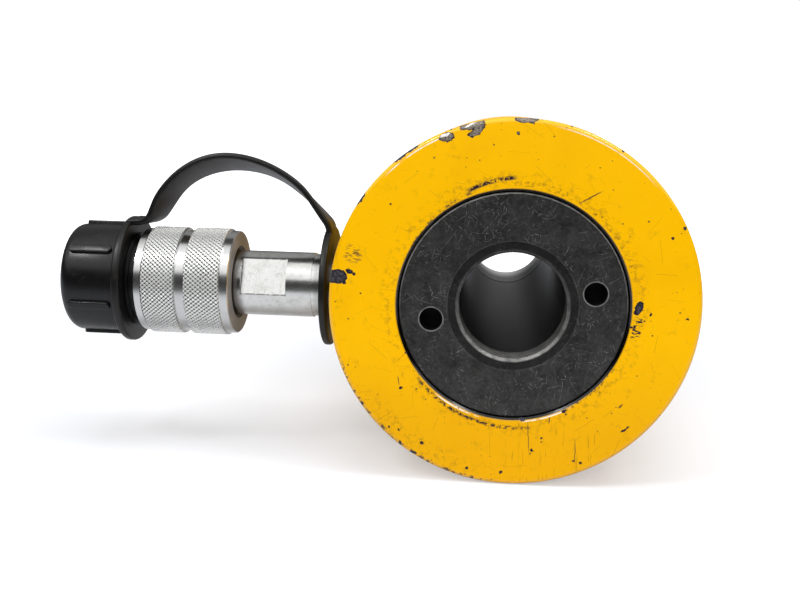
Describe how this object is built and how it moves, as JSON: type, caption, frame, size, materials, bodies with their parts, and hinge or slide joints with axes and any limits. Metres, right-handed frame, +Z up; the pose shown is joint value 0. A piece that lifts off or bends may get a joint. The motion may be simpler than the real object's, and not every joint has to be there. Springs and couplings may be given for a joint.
{
  "type": "hollow plunger hydraulic cylinder",
  "caption": "Single-acting, spring-return hollow plunger hydraulic cylinder with a centre hole, grooved saddle, collar thread and a capped quick coupler with strap.",
  "frame": {"origin": "centre of the flat base face, on the cylinder axis", "axes": "+Y along the cylinder axis from the base to the plunger end, -X along the hose coupling, +Z up as it lies"},
  "size_m": [0.2052, 0.178, 0.1142],
  "materials": {
    "yellow_paint": "gloss paint, chipped and scratched to dark primer",
    "black_oxide": "black oxide with fine bright scratches",
    "bare_steel": "machined steel with an oil film",
    "hard_chrome": "ground hard chrome",
    "zinc_plate": "bright zinc plate",
    "phosphate": "dark phosphate",
    "spring_steel": "oiled spring steel",
    "bronze": "bearing bronze",
    "seal_polyurethane": "smooth seal elastomer",
    "seal_rubber": "black nitrile rubber",
    "backup_plastic": "white filled plastic",
    "cap_plastic": "glossy black moulded plastic",
    "strap_plastic": "soft black vinyl"
  },
  "bodies": {
    "cylinder": {"cylinder_body": "yellow_paint", "base_insert": "black_oxide", "insert_o_ring": "seal_rubber", "centre_tube": "bare_steel", "tube_o_ring": "seal_rubber", "return_spring": "spring_steel", "gland_nut": "black_oxide", "rod_bearing": "bronze", "rod_wiper": "seal_polyurethane", "coupler_body": "zinc_plate", "coupler_socket": "zinc_plate", "socket_o_ring": "seal_rubber", "poppet_guide": "bare_steel", "poppet_spring": "spring_steel", "cap_strap": "strap_plastic"},
    "plunger": {"plunger": "hard_chrome", "piston_seal": "seal_polyurethane", "piston_backup_ring": "backup_plastic", "piston_bearing": "bronze", "tube_seal": "seal_polyurethane", "tube_backup_ring": "backup_plastic", "tube_bearing": "bronze", "saddle": "phosphate"},
    "coupler_sleeve": {"coupler_sleeve": "zinc_plate", "sleeve_retainer": "spring_steel"},
    "poppet": {"poppet": "bare_steel", "poppet_seal": "seal_rubber"},
    "dust_cap": {"dust_cap": "cap_plastic"}
  },
  "joints": [
    {"name": "plunger_stroke", "type": "slide", "parent": "cylinder", "child": "plunger", "axis": [0, 1, 0], "range_m": [0, 0.0635], "stiffness_N_per_m": 12482, "springref_m": -0.016, "deforming": ["return_spring"]},
    {"name": "sleeve_spin", "type": "hinge", "parent": "cylinder", "child": "coupler_sleeve", "pos_m": [-0.10735, 0.0265, 0], "axis": [1, 0, 0], "range_deg": [0, 1710]},
    {"name": "cap_unscrew", "type": "slide", "parent": "cylinder", "child": "dust_cap", "axis": [-1, 0, 0], "range_m": [0, 0.0096], "deforming": ["cap_strap"]},
    {"name": "poppet_lift", "type": "slide", "parent": "cylinder", "child": "poppet", "axis": [1, 0, 0], "range_m": [0, 0.0045], "stiffness_N_per_m": 1500, "springref_m": -0.003, "deforming": ["poppet_spring"]}
  ],
  "couplings": [
    {"joint": "cap_unscrew", "follows": "sleeve_spin", "m_per_rad": 0.00031831}
  ]
}
